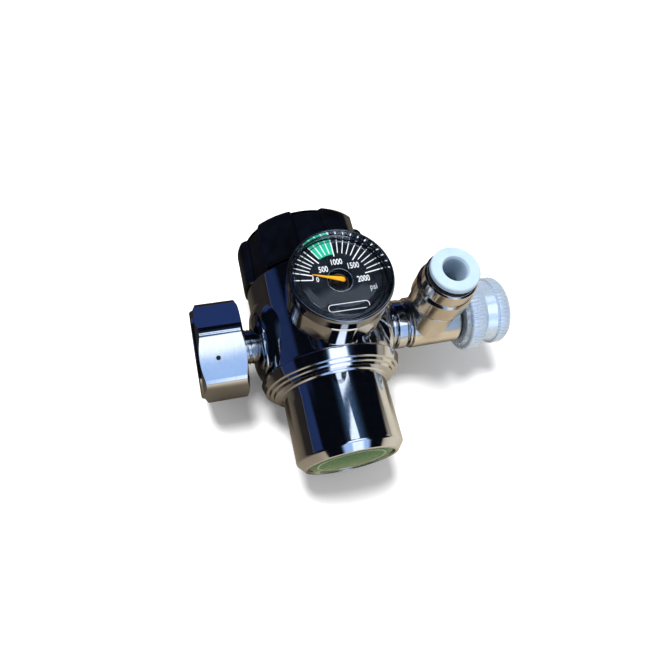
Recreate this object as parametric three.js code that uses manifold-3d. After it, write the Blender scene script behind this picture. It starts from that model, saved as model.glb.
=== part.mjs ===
// Compact CO2 pressure regulator: a turned body with a hand-knob pressure adjuster, a capped
// bonnet, a hex inlet nut, a micro pressure gauge and a needle-valve tee with a push-in outlet.
// Millimetres. The main axis is Y, the ports run along X and the gauge stands on +Z.
import * as THREE from 'three';
import { mergeVertices } from 'three/addons/utils/BufferGeometryUtils.js';
import Module from 'manifold-3d';

const wasm = await Module();
wasm.setup();

// ---- driving dimensions ------------------------------------------------------------------
const SEG = 36;            // facets round the large turned parts
const SEG_M = 28;          // facets round the middle-sized ones
const SEG_S = 16;          // facets round the small ones
const BODY_R = 18.2;
const BODY_Y0 = -11.2;
const BODY_Y1 = 15.9;
const DOME_X = 19.3;       // face of the two domed port bosses
const PORT_R = 4.95;       // port holes, for 9.7 mm threads
const THREAD_R = 4.85;
const CHAMBER_R = 13;      // spring and piston chamber
const HP_R = 5;            // high-pressure bore under the seat
const FLANGE_R = 19;
const BONNET_R = 14.07;
const BONNET_END_R = 12.1;
const BONNET_END_Y = -35.8;
const KNOB_R = 18.8;
const KNOB_FLUTE = 1.3;    // depth of the six grip recesses
const KNOB_Y0 = 16.5;
const KNOB_Y1 = 31;
const NUT_AF = 24.2;
const NUT_X0 = -22.2;
const NUT_X1 = -34.9;
const NUT_BORE_R = 9.6;
const VENT_ANGLE = Math.PI / 3;           // the vent's flat faces up and towards the bonnet
const GAUGE_Y = -0.5;      // gauge stands a little towards the bonnet
const CASE_R = 12.4;
const CASE_AF = 23.65;
const FLAT_TURN = 22 * Math.PI / 180;     // of the gauge's six wrench flats
const CASE_Z0 = 22.5;
const BEZEL_Z0 = 31.4;
const BEZEL_Z1 = 35.2;
const DIAL_Z = 32.3;
const ZERO_TURN = -18 * Math.PI / 180;    // from -X to the dial's zero mark
const TEE_R = 7.33;
const TEE_X0 = 25.2;
const TEE_X1 = 39.5;
const FITTING_X = 30.5;    // axis of the push-in fitting
const RISER_R = 7;         // neck on the tee that takes the fitting
const RISER_PORT_R = 4;
const COLLAR_R = 6.42;
const COLLAR_TOP = 29.3;
const TUBE_R = 3.1;        // 6 mm tube with clearance
const LOCK_RING_R = 10.5;
const VALVE_KNOB_R = 9.8;
const VALVE_KNOB_X1 = 54.1;
const CENTRE_OFFSET = [-9.6, 2.4, 19];  // brings the origin under the middle, at floor level

// ---- materials ---------------------------------------------------------------------------
const mat = (color, roughness, metalness) => new THREE.MeshStandardMaterial({ color, roughness, metalness });
const CHROME = mat(0xd5dae0, 0.08, 1);
const BRUSHED = mat(0xc3c9cf, 0.35, 1);
const NICKEL = mat(0xb7b2a6, 0.2, 1);
const BRASS = mat(0xb89a5a, 0.3, 1);
const STEEL = mat(0x8d9197, 0.35, 1);
const BRONZE = mat(0x9c6b3a, 0.4, 1);
const BLACK_GLOSS = mat(0x08090b, 0.15, 0);
const RUBBER = mat(0x101010, 0.8, 0);
const NYLON = mat(0xe6e2d6, 0.5, 0);
const GREEN = mat(0x1f7a45, 0.45, 0);
const GOLD = mat(0xc9c29a, 0.4, 0.3);
const DIAL = mat(0x14161a, 0.6, 0);
const NEEDLE = mat(0xf2a818, 0.5, 0);
const LENS = new THREE.MeshStandardMaterial({
  color: 0xe8eef4, roughness: 0.05, metalness: 0, transparent: true, opacity: 0.25 });
const COLLAR = mat(0xbcd1e6, 0.5, 0);
const DARK_PLASTIC = mat(0x24272b, 0.5, 0);

// ---- geometry helpers --------------------------------------------------------------------
function volume(pos, idx) {
  let v = 0;
  const p = [0, 1, 2].map(() => new THREE.Vector3());
  for (let i = 0; i < idx.length; i += 3) {
    for (let k = 0; k < 3; k++) p[k].fromArray(pos, idx[i + k] * 3);
    v += p[0].dot(p[1].clone().cross(p[2]));
  }
  return v / 6;
}

// Position-only, welded, without slivers, and with its faces pointing out.
function clean(geometry) {
  const bare = new THREE.BufferGeometry();
  bare.setAttribute('position', geometry.getAttribute('position').clone());
  if (geometry.index) bare.setIndex(geometry.index.clone());
  const welded = mergeVertices(bare, 1e-4);
  const src = Array.from(welded.index.array);
  let idx = [];
  for (let i = 0; i < src.length; i += 3) {
    const [a, b, c] = src.slice(i, i + 3);
    if (a !== b && b !== c && c !== a) idx.push(a, b, c);
  }
  const pos = welded.getAttribute('position').array;
  if (volume(pos, idx) < 0) {
    const flipped = [];
    for (let i = 0; i < idx.length; i += 3) flipped.push(idx[i], idx[i + 2], idx[i + 1]);
    idx = flipped;
  }
  welded.setIndex(idx);
  return welded;
}

function solid(geometry) {
  const g = clean(geometry);
  return new wasm.Manifold(new wasm.Mesh({
    numProp: 3,
    vertProperties: new Float32Array(g.getAttribute('position').array),
    triVerts: new Uint32Array(g.index.array),
  }));
}

function shell(manifold) {
  const m = manifold.getMesh();
  const g = new THREE.BufferGeometry();
  g.setAttribute('position', new THREE.BufferAttribute(new Float32Array(m.vertProperties), 3));
  g.setIndex(new THREE.BufferAttribute(new Uint32Array(m.triVerts), 1));
  return clean(g);
}

// Turned shape about local Y; profile is [radius, height] pairs.
const turned = (profile, seg = SEG_S) =>
  clean(new THREE.LatheGeometry(profile.map(([r, y]) => new THREE.Vector2(r, y)), seg));

// Plain ring or tube between two heights.
const ring = (ri, ro, y0, y1, seg = SEG_S) =>
  turned([[ri, y0], [ro, y0], [ro, y1], [ri, y1], [ri, y0]], seg);

const rod = (r, y0, y1, seg = SEG_S) => turned([[0, y0], [r, y0], [r, y1], [0, y1]], seg);

const toX = (g) => clean(g.clone().applyMatrix4(new THREE.Matrix4().makeRotationZ(-Math.PI / 2)));
const toZ = (g) => clean(g.clone().applyMatrix4(new THREE.Matrix4().makeRotationX(Math.PI / 2)));
// in the port frame local Y is +X, so +Z of the part is reached by turning local Y to local Z
const upright = new THREE.Matrix4().makeRotationX(Math.PI / 2);
const moved = (g, x, y, z) => clean(g.clone().applyMatrix4(new THREE.Matrix4().makeTranslation(x, y, z)));

// Straight prism of a closed outline along local Y.
function prism(outline, y0, y1) {
  const shape = new THREE.Shape(outline.map(([x, y]) => new THREE.Vector2(x, y)));
  const g = new THREE.ExtrudeGeometry(shape, { depth: y1 - y0, bevelEnabled: false });
  g.applyMatrix4(new THREE.Matrix4().makeRotationX(-Math.PI / 2));
  return moved(g, 0, y0, 0);
}

function hexOutline(af, turn) {
  const r = af / 2 / Math.cos(Math.PI / 6);
  return [0, 1, 2, 3, 4, 5].map((k) => {
    const a = turn + k * Math.PI / 3;
    return [r * Math.cos(a), r * Math.sin(a)];
  });
}

// Straight-knurled outline with n pointed teeth.
function knurlOutline(n, rTip, rRoot) {
  const pts = [];
  for (let k = 0; k < n; k++) {
    for (const [f, r] of [[0, rRoot], [0.5, rTip]]) {
      const a = (k + f) / n * Math.PI * 2;
      pts.push([r * Math.cos(a), r * Math.sin(a)]);
    }
  }
  return pts;
}

// O-ring about local Y.
function oRing(rMid, rCord, y, seg = SEG_S) {
  const g = new THREE.TorusGeometry(rMid, rCord, 6, seg);
  g.applyMatrix4(new THREE.Matrix4().makeRotationX(Math.PI / 2));
  return moved(g, 0, y, 0);
}

class Helix extends THREE.Curve {
  constructor(radius, y0, y1, coils) {
    super();
    Object.assign(this, { radius, y0, y1, coils });
  }

  getPoint(t, target = new THREE.Vector3()) {
    const a = t * this.coils * Math.PI * 2;
    const y = this.y0 + (this.y1 - this.y0) * t;
    return target.set(this.radius * Math.cos(a), y, this.radius * Math.sin(a));
  }
}

function coil(radius, wire, y0, y1, coils, stepsPerCoil = 11) {
  const section = new THREE.Shape();
  section.absarc(0, 0, wire, 0, Math.PI * 2, false);
  return clean(new THREE.ExtrudeGeometry(section, {
    curveSegments: 3, steps: Math.round(coils * stepsPerCoil), bevelEnabled: false,
    extrudePath: new Helix(radius, y0 + wire, y1 - wire, coils) }));
}

// ---- sub-parts on the main (Y) axis ------------------------------------------------------
function regulatorBody() {
  const c = 0.5;
  let s = solid(turned([[0, BODY_Y0], [BODY_R - c, BODY_Y0], [BODY_R, BODY_Y0 + c], [BODY_R, BODY_Y1 - c],
    [BODY_R - c, BODY_Y1], [0, BODY_Y1]], SEG));
  const dome = turned([[0, 8], [13.2, 8], [13, 13.2], [12.5, 15.2], [11.4, 16.9], [9.8, 18.1], [8, 18.9],
    [6.6, DOME_X], [0, DOME_X]], SEG_M);
  s = s.add(solid(toX(dome)));
  s = s.add(solid(clean(toX(dome).applyMatrix4(new THREE.Matrix4().makeRotationZ(Math.PI)))));
  s = s.intersect(solid(rod(30, BODY_Y0, BODY_Y1, SEG)));
  // spigot that carries the bonnet
  s = s.add(solid(rod(10.7, -19.5, BODY_Y0 + 1, SEG_M)));
  const cut = (g) => { s = s.subtract(solid(g)); };
  cut(rod(CHAMBER_R, 5, BODY_Y1 + 1, SEG_M));
  cut(rod(HP_R, -20, 2));
  cut(rod(1.2, 1, 6, 12));
  cut(toX(rod(PORT_R, -20, -9)));
  cut(toX(rod(1, -10, -4, 12)));
  cut(toX(rod(PORT_R, 10, 20)));
  // low-pressure passage from the chamber down into the outlet port
  cut(moved(rod(1.2, -1, 6, 12), 11.6, 0, 0));
  // spot face and port for the gauge
  cut(moved(toZ(rod(8.5, 17.4, 20, SEG_M)), 0, GAUGE_Y, 0));
  cut(moved(toZ(rod(PORT_R, 9.5, 20)), 0, GAUGE_Y, 0));
  cut(moved(toZ(rod(1, 4, 11, 12)), 0, GAUGE_Y, 0));
  return shell(s);
}

function bonnet() {
  return turned([
    [11, -11.4], [FLANGE_R - 0.3, -11.4], [FLANGE_R, -11.7], [FLANGE_R, -12.5], [FLANGE_R - 0.5, -12.9],
    [17, -13.5], [16.8, -13.9], [15.6, -14.5], [15.3, -14.9], [14.6, -15.1], [BONNET_R, -15.9],
    [BONNET_R, BONNET_END_Y + 1.94], [BONNET_END_R, BONNET_END_Y], [11.4, BONNET_END_Y],
    [11.3, BONNET_END_Y + 1.1], [0, BONNET_END_Y + 1.1], [0, -31.5], [9.5, -31.5], [11, -30],
    [11, -11.4]], SEG);
}

const endLabel = () => turned([[0, -35.4], [11, -35.4], [11, -34.75], [0, -34.75]], SEG_M);
const labelRing = () => ring(8.6, 9.2, -35.6, -35.42, SEG_M);
const bonnetORing = () => oRing(10.45, 0.35, -20.1);

function springHousing() {
  return turned([[11.4, 9.6], [12.9, 9.6], [12.9, 16.05], [15, 16.05], [15, 17.2], [12.6, 17.2],
    [12.6, 27.4], [2.6, 27.4], [2.6, 25.2], [11.4, 25.2], [11.4, 9.6]], SEG_M);
}

function knobOutline() {
  const pts = [];
  for (let d = 0; d < 360; d += 5) {
    // crest within 16 degrees of each multiple of 60, recess between
    const off = Math.abs(((d + 30) % 60) - 30);
    const f = THREE.MathUtils.smoothstep(off, 14, 20);
    const r = KNOB_R - KNOB_FLUTE * f;
    pts.push([r * Math.cos(d * Math.PI / 180), r * Math.sin(d * Math.PI / 180)]);
  }
  return pts;
}

function adjustingKnob() {
  const c = 0.8;
  let s = solid(prism(knobOutline(), KNOB_Y0, KNOB_Y1));
  // rounded edges at both ends
  s = s.intersect(solid(turned([[0, KNOB_Y0], [KNOB_R - c * 0.8, KNOB_Y0], [KNOB_R - 0.2, KNOB_Y0 + 0.3],
    [KNOB_R + 0.3, KNOB_Y0 + c], [KNOB_R + 0.3, KNOB_Y1 - 1.4], [KNOB_R - 0.4, KNOB_Y1 - 0.5],
    [KNOB_R - 1.4, KNOB_Y1], [0, KNOB_Y1]], SEG)));
  s = s.subtract(solid(rod(15.6, KNOB_Y0 - 1, 27.8, SEG_M)));
  // socket for the spindle head and its screw
  s = s.subtract(solid(prism(hexOutline(7.1, 0), 27, 29.4)));
  s = s.subtract(solid(rod(1.7, 29, KNOB_Y1 + 1, 16)));
  s = s.subtract(solid(rod(3.2, 30, KNOB_Y1 + 1, 16)));
  return shell(s);
}

function adjustingSpindle() {
  let s = solid(rod(2.2, 14.2, 28));
  s = s.add(solid(rod(4.2, 24.2, 25.1)));
  s = s.add(solid(prism(hexOutline(6.8, 0), 27.9, 29.3)));
  s = s.subtract(solid(rod(1.05, 26.4, 30, 12)));
  return shell(s);
}

function knobScrew() {
  let s = solid(rod(1, 26.6, 30.2, 12)).add(solid(rod(3, 30.05, 30.8, 16)));
  s = s.subtract(solid(moved(new THREE.BoxGeometry(0.6, 1, 7), 0, 31, 0)));
  return shell(s);
}

// Travelling nut that the spindle screws down onto the main spring.
function springSeat() {
  return turned([[2.35, 17.6], [4.4, 17.6], [4.4, 20.4], [10.6, 20.4], [10.6, 22.2], [2.35, 22.2],
    [2.35, 17.6]], 24);
}

const mainSpring = () => coil(8.3, 1.05, 9.4, 20.25, 4.5);

function piston() {
  return turned([[0, 5.6], [12.8, 5.6], [12.8, 6.2], [11.9, 6.2], [11.9, 7.5], [12.8, 7.5], [12.8, 8.6],
    [10.9, 8.6], [10.9, 9.3], [6.2, 9.3], [6.2, 10.8], [0, 10.8]], SEG_M);
}

const pistonORing = () => oRing(12.43, 0.45, 6.85, SEG_M);
const pushPin = () => rod(0.8, 0.35, 5.55, 12);
const valveSeat = () => ring(1.3, 4.8, 0.6, 1.9);
const poppet = () => turned([[0, -6.6], [1.5, -6.6], [1.5, -2.6], [3.2, -2.6], [3.2, -0.6], [2, 0.2],
  [0, 0.2]], 16);
const poppetSpring = () => coil(2.6, 0.4, -9.9, -2.7, 4, 9);
function hpPlug() {
  let s = solid(turned([[0, -12.6], [4.85, -12.6], [4.85, -10.1], [1.9, -10.1], [1.9, -7.6], [0, -7.6]],
    24));
  s = s.subtract(solid(rod(0.9, -13, -11, 12)));
  return shell(s);
}

// ---- sub-parts on the port (X) axis; local Y runs along +X ---------------------------------
function inletStem() {
  return turned([[1.9, -9.6], [THREAD_R, -9.6], [THREAD_R, -25.9], [8.2, -25.9], [8.2, -28.2],
    [3.2, -28.2], [3.2, -26.4], [1.9, -26.4], [1.9, -9.6]]);
}

function inletNut() {
  const round = (NUT_AF / 2) / Math.cos(Math.PI / 6);
  let s = solid(prism(hexOutline(NUT_AF, Math.PI / 6), NUT_X1, NUT_X0));
  // chamfered corners at the body end, turned collar at the outer end
  s = s.intersect(solid(turned([[0, NUT_X1], [11.7, NUT_X1], [11.9, NUT_X1 + 0.9],
    [round + 0.1, NUT_X1 + 2.1], [round + 0.1, NUT_X0 - 1.2], [12, NUT_X0], [0, NUT_X0]], SEG)));
  s = s.subtract(solid(rod(NUT_BORE_R, NUT_X1 - 1, -25.5, SEG_M)));
  s = s.subtract(solid(rod(5.15, -27, NUT_X0 + 1)));
  // vent hole through the flat that faces up and towards the bonnet
  const turnUp = new THREE.Matrix4().makeRotationZ(-Math.PI / 2);
  const across = clean(new THREE.CylinderGeometry(0.6, 0.6, 8, 12)
    .applyMatrix4(turnUp).applyMatrix4(new THREE.Matrix4().makeTranslation(NUT_AF / 2, -29.3, 0))
    .applyMatrix4(new THREE.Matrix4().makeRotationY(-VENT_ANGLE)));
  s = s.subtract(solid(across));
  return shell(s);
}

const inletWasher = () => ring(2.6, 8.4, -29.8, -28.3);
const inletFilter = () => rod(3.1, -28.1, -26.5, 16);

function outletAdapter() {
  return turned([[1.6, 10.2], [THREAD_R, 10.2], [THREAD_R, 19.4], [6.4, 19.4], [6.4, 20.1], [5.2, 20.2],
    [5.2, 20.5], [6.6, 20.6], [7, 21], [7, 23.3], [6.6, 23.7], [5.6, 23.8], [5.6, 24.2], [6.9, 24.3],
    [6.9, 25.05], [THREAD_R, 25.1], [THREAD_R, 29.6], [1.6, 29.6], [1.6, 10.2]], SEG_M);
}

function valveBody() {
  let s = solid(turned([[0, TEE_X0], [TEE_R - 0.3, TEE_X0], [TEE_R, TEE_X0 + 0.3], [TEE_R, TEE_X1 - 0.5],
    [TEE_R - 0.5, TEE_X1], [0, TEE_X1]], SEG_M));
  const up = (g) => solid(moved(clean(g.clone().applyMatrix4(upright)), 0, FITTING_X, 0));
  s = s.add(up(rod(RISER_R, 2, 13.6, SEG_M)));
  s = s.intersect(solid(rod(20, TEE_X0, TEE_X1)));
  s = s.subtract(solid(rod(PORT_R, TEE_X0 - 1, 30.2)));
  s = s.subtract(solid(rod(1.5, 29, 33.4, 12)));
  s = s.subtract(solid(rod(5, 33.2, TEE_X1 + 1)));
  // riser to the push-in fitting
  s = s.subtract(up(rod(RISER_PORT_R, 7.4, 15)));
  s = s.subtract(solid(clean(rod(1.1, 3, 9, 12).applyMatrix4(upright)
    .applyMatrix4(new THREE.Matrix4().makeTranslation(0, 34.6, 0)))));
  return shell(s);
}

const gapSeal = () => ring(6.1, 7.05, 39.6, 39.95, SEG_M);
function gland() {
  return turned([[2.05, 33.6], [4.85, 33.6], [4.85, 39.6], [5.8, 40.1], [5.8, 46.4], [2.05, 46.4],
    [2.05, 33.6]]);
}
const glandORing = () => oRing(2.62, 0.42, 47);
function needle() {
  return turned([[0, 30.6], [0.4, 30.6], [1.35, 33.2], [1.35, 34], [1.95, 35], [1.95, 53.2], [0, 53.2]], 16);
}

function lockRing() {
  let s = solid(prism(knurlOutline(44, LOCK_RING_R, LOCK_RING_R - 0.35), 41.3, 45.7));
  s = s.intersect(solid(turned([[0, 41.3], [LOCK_RING_R - 0.6, 41.3], [LOCK_RING_R + 0.1, 41.8],
    [LOCK_RING_R + 0.1, 45.2], [LOCK_RING_R - 0.6, 45.7], [0, 45.7]], SEG)));
  s = s.add(solid(turned([[0, 40.6], [8.4, 40.6], [9.2, 41.5], [0, 41.5]], SEG_M)));
  s = s.subtract(solid(rod(5.95, 40, 46)));
  return shell(s);
}

function valveKnob() {
  let s = solid(prism(knurlOutline(40, VALVE_KNOB_R, VALVE_KNOB_R - 0.35), 50.2, VALVE_KNOB_X1));
  s = s.intersect(solid(turned([[0, 50.2], [VALVE_KNOB_R + 0.1, 50.2], [VALVE_KNOB_R + 0.1, 52.6],
    [VALVE_KNOB_R - 0.5, 53.6], [VALVE_KNOB_R - 1.6, VALVE_KNOB_X1], [0, VALVE_KNOB_X1]], SEG)));
  s = s.add(solid(turned([[0, 46.7], [8.3, 46.7], [8.7, 47], [9.2, 50.3], [0, 50.3]], SEG_M)));
  s = s.subtract(solid(rod(3.4, 46, 48.2)));
  s = s.subtract(solid(rod(2, 46, 53.4, 16)));
  s = s.subtract(solid(rod(1.2, 53, 55, 12)));
  return shell(s);
}
const knobPin = () => turned([[0, 53.3], [1.1, 53.3], [1.1, 53.9], [0, 53.9]], 12);

// ---- sub-parts on the gauge (Z) axis; local Y runs up ----------------------------------------
function gaugeCase() {
  let s = solid(turned([[0, 17.9], [6, 17.9], [6, CASE_Z0 - 0.2], [CASE_R - 0.8, CASE_Z0],
    [CASE_R, CASE_Z0 + 0.6], [CASE_R, BEZEL_Z0 - 0.1], [0, BEZEL_Z0 - 0.1]], SEG));
  // six wrench flats
  s = s.intersect(solid(prism(hexOutline(CASE_AF, FLAT_TURN), 0, 40)));
  s = s.add(solid(rod(THREAD_R, 10, 18)));
  s = s.subtract(solid(rod(11, 24.8, 40, SEG_M)));
  s = s.subtract(solid(rod(0.9, 9, 26, 12)));
  return shell(s);
}

function gaugeBezel() {
  return turned([[11.25, BEZEL_Z0], [CASE_R - 0.1, BEZEL_Z0], [CASE_R, BEZEL_Z0 + 0.4],
    [CASE_R, BEZEL_Z1 - 0.6], [CASE_R - 0.5, BEZEL_Z1], [11.5, BEZEL_Z1], [11.25, BEZEL_Z1 - 0.4],
    [11.25, BEZEL_Z0]], SEG);
}

function gaugeLens() {
  return turned([[0, 33.4], [11.15, 33.4], [11.15, 34.9], [10.6, 35.3], [8.6, 35.45], [5, 35.6], [0, 35.65]],
    SEG_M);
}
const gaugeSeal = () => ring(5.1, 6.6, 17.5, 17.8);
const dial = () => ring(2.9, 11.15, DIAL_Z - 0.4, DIAL_Z, SEG_M);

// Bent pointer: a foot at the arbor, a step up through the dial hole and a tapering blade.
function pointer() {
  const blade = new THREE.Shape([[-6.6, 0.12], [-6.6, -0.12], [-2, -0.5], [0.4, -0.85], [1, -0.5], [1, 0.5],
    [0.4, 0.75], [-2, 0.4]].map(([x, y]) => new THREE.Vector2(x, y)));
  const g = new THREE.ExtrudeGeometry(blade, { depth: 0.3, bevelEnabled: false });
  g.applyMatrix4(new THREE.Matrix4().makeRotationX(-Math.PI / 2));
  g.applyMatrix4(new THREE.Matrix4().makeRotationY(ZERO_TURN));
  return moved(clean(g), 0, DIAL_Z + 0.45, 0);
}
const arbor = () => rod(0.45, 25.6, DIAL_Z + 0.35, 12);
const bourdonCoil = () => coil(1.95, 0.32, 26.4, 31.6, 4.5, 9);
const coilPost = () => turned([[1, 24.9], [3.2, 24.9], [3.2, 25.5], [1, 25.5], [1, 24.9]], 16);

// ---- push-in outlet; local Y runs up ---------------------------------------------------------
const fittingSeal = () => ring(4.1, 7.2, 13.7, 14.5, SEG_M);
function fittingBody() {
  return turned([[2.2, 8], [3.9, 8], [3.9, 14.6], [7.1, 14.6], [7.7, 15.3], [7.7, 21.3], [7.2, 21.9],
    [7, 22], [7, 26], [6.6, 26.3], [4.5, 26.3], [4.5, 18.4], [4.9, 18.2], [4.9, 16.2], [3.15, 16.2],
    [3.15, 13], [2.2, 12.4], [2.2, 8]], SEG_M);
}
const tubeORing = () => oRing(4, 0.75, 17.2);
function grabRing() {
  let s = solid(ring(2.75, 4.4, 18.6, 19.1));
  for (let k = 0; k < 4; k++) {
    const slot = new THREE.BoxGeometry(1.5, 2, 0.5).translate(3, 18.8, 0)
      .applyMatrix4(new THREE.Matrix4().makeRotationY((k + 0.5) * Math.PI / 2));
    s = s.subtract(solid(slot));
  }
  return shell(s);
}
function releaseCollar() {
  return turned([[TUBE_R, 20.6], [4.3, 20.6], [4.3, 27.55], [COLLAR_R - 0.1, 27.55], [COLLAR_R, 27.75],
    [COLLAR_R, COLLAR_TOP - 0.3], [COLLAR_R - 0.3, COLLAR_TOP], [3.55, COLLAR_TOP],
    [TUBE_R + 0.1, COLLAR_TOP - 0.9], [TUBE_R, COLLAR_TOP - 1.4], [TUBE_R, 20.6]], SEG_M);
}
const collarGuide = () => ring(4.5, 6.3, 26.32, 26.6);

// ---- assembly --------------------------------------------------------------------------------
function place(group, entries) {
  for (const [name, geometry, material] of entries) {
    geometry.computeVertexNormals();
    const mesh = new THREE.Mesh(geometry, material);
    mesh.name = name;
    group.add(mesh);
  }
  return group;
}

const mainAxis = place(new THREE.Group(), [
  ['regulator_body', regulatorBody(), CHROME],
  ['bonnet', bonnet(), CHROME],
  ['bonnet_o_ring', bonnetORing(), RUBBER],
  ['end_label', endLabel(), GREEN],
  ['end_label_ring', labelRing(), GOLD],
  ['spring_housing', springHousing(), STEEL],
  ['adjusting_knob', adjustingKnob(), BLACK_GLOSS],
  ['adjusting_spindle', adjustingSpindle(), STEEL],
  ['knob_screw', knobScrew(), STEEL],
  ['spring_seat', springSeat(), BRASS],
  ['main_spring', mainSpring(), STEEL],
  ['piston', piston(), BRASS],
  ['piston_o_ring', pistonORing(), RUBBER],
  ['push_pin', pushPin(), STEEL],
  ['valve_seat', valveSeat(), NYLON],
  ['poppet', poppet(), BRASS],
  ['poppet_spring', poppetSpring(), STEEL],
  ['poppet_plug', hpPlug(), BRASS],
]);

const portAxis = place(new THREE.Group(), [
  ['inlet_stem', inletStem(), CHROME],
  ['inlet_nut', inletNut(), BRUSHED],
  ['inlet_washer', inletWasher(), NYLON],
  ['inlet_filter', inletFilter(), BRONZE],
  ['outlet_adapter', outletAdapter(), CHROME],
  ['valve_body', valveBody(), NICKEL],
  ['valve_seal_ring', gapSeal(), RUBBER],
  ['valve_gland', gland(), BRASS],
  ['gland_o_ring', glandORing(), RUBBER],
  ['valve_needle', needle(), STEEL],
  ['lock_ring', lockRing(), CHROME],
  ['valve_knob', valveKnob(), CHROME],
  ['valve_knob_plug', knobPin(), STEEL],
]);
portAxis.rotation.z = -Math.PI / 2;

const gaugeAxis = place(new THREE.Group(), [
  ['gauge_case', gaugeCase(), CHROME],
  ['gauge_bezel', gaugeBezel(), CHROME],
  ['gauge_lens', gaugeLens(), LENS],
  ['gauge_seal', gaugeSeal(), NYLON],
  ['gauge_dial', dial(), DIAL],
  ['gauge_pointer', pointer(), NEEDLE],
  ['pointer_arbor', arbor(), BRASS],
  ['bourdon_coil', bourdonCoil(), BRONZE],
  ['coil_base', coilPost(), BRASS],
]);
gaugeAxis.rotation.x = Math.PI / 2;
gaugeAxis.position.y = GAUGE_Y;

const outletAxis = place(new THREE.Group(), [
  ['fitting_seal', fittingSeal(), CHROME],
  ['fitting_body', fittingBody(), NICKEL],
  ['tube_o_ring', tubeORing(), RUBBER],
  ['grab_ring', grabRing(), STEEL],
  ['collar_guide', collarGuide(), DARK_PLASTIC],
  ['release_collar', releaseCollar(), COLLAR],
]);
outletAxis.rotation.x = Math.PI / 2;
outletAxis.position.x = FITTING_X;

const regulator = new THREE.Group();
regulator.add(mainAxis, portAxis, gaugeAxis, outletAxis);
regulator.position.set(...CENTRE_OFFSET);
export default regulator;
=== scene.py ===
import math

import bmesh
import bpy
from mathutils import Euler, Matrix, Vector


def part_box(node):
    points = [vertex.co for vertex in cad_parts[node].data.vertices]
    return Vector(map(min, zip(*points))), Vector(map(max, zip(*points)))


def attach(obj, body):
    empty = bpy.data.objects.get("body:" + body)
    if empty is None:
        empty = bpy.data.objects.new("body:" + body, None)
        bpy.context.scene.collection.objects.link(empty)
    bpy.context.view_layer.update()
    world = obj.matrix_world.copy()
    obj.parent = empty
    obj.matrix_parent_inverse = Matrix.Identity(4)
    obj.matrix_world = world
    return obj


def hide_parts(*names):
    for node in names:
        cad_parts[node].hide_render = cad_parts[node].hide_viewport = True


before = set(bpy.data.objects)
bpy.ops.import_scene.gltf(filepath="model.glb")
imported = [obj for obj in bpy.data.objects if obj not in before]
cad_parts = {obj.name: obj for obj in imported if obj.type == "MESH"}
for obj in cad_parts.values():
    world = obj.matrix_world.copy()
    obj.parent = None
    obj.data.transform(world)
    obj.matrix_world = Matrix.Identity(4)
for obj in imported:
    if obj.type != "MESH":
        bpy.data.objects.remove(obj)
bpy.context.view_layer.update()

MM = 0.001

# ---- driving sizes, in millimetres and degrees --------------------------------------------------
BODY_R, BODY_Y0, BODY_Y1 = 18.2, -11.2, 15.9
DOME_FOOT, DOME_TOP = 6, 19.3
CHAMBER_R, SUPPLY_R, PORT_R = 13, 5, 4.95
SPOT_R, SPOT_Z = 8.5, 17.4
BONNET_R, BONNET_END = 14.07, 35.8
LABEL_R = 11.05
LOBE_R, LOBE_FROM = 18.8, 17          # hand knob's crest, and where its fluted outline starts
LOBE_STEP, FLUTE_DEPTH = 60, 1.9
THREAD_R, THREAD_PITCH, THREAD_DEPTH = 4.85, 0.8, 0.42
THREAD_X0, THREAD_X1 = -25.9, -18.8
NUT_ACROSS, NUT_CORNER, NUT_X0, NUT_X1 = 24.2, 4.2, -34.9, -22.2
VENT_X, VENT_TURN = -29.3, 30
TEE_R, TEE_X0, TEE_X1 = 7.33, 25.2, 39.5
RISER_R, RISER_Z0, RISER_Z1 = 7.0, 1, 13.65
LOCK_R, LOCK_TEETH = 10.5, 60
GRIP_R, GRIP_TEETH = 9.8, 56
KNURL_DEPTH = 0.17
COLLET_TEETH = 8
CASE_R, CASE_FLATS, CASE_TURN = 12.4, 23.65, 52
BEZEL_R, LENS_R = 12.4, 11.56
DIAL_Z, DIAL_R, DIAL_HOLE = 32.3, 11.15, 2.9
COIL_R, COIL_WIRE, COIL_Z0, COIL_RISE = 2.2, 0.27, 26.75, 4.5
scene = bpy.context.scene

# ---- where the axes are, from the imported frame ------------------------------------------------
bonnet_lo, bonnet_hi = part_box("bonnet")
bezel_lo, bezel_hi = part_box("gauge_bezel")
collar_lo, collar_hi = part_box("release_collar")
CENTRE = Vector(((bonnet_lo.x + bonnet_hi.x) / 2, bonnet_lo.y + BONNET_END * MM,
                 (bonnet_lo.z + bonnet_hi.z) / 2))
GAUGE = Vector((CENTRE.x, (bezel_lo.y + bezel_hi.y) / 2, CENTRE.z))
OUTLET = Vector(((collar_lo.x + collar_hi.x) / 2, CENTRE.y, CENTRE.z))


# ---- mesh helpers -----------------------------------------------------------------------------
def at(axis, r, turn, h):
    """Point at radius r and angle turn round an axis, h along it, in millimetres."""
    c, s = r * math.cos(turn), r * math.sin(turn)
    if axis == "X":
        return Vector((h, c, s))
    if axis == "Y":
        return Vector((c, h, s))
    return Vector((c, s, h))


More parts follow.
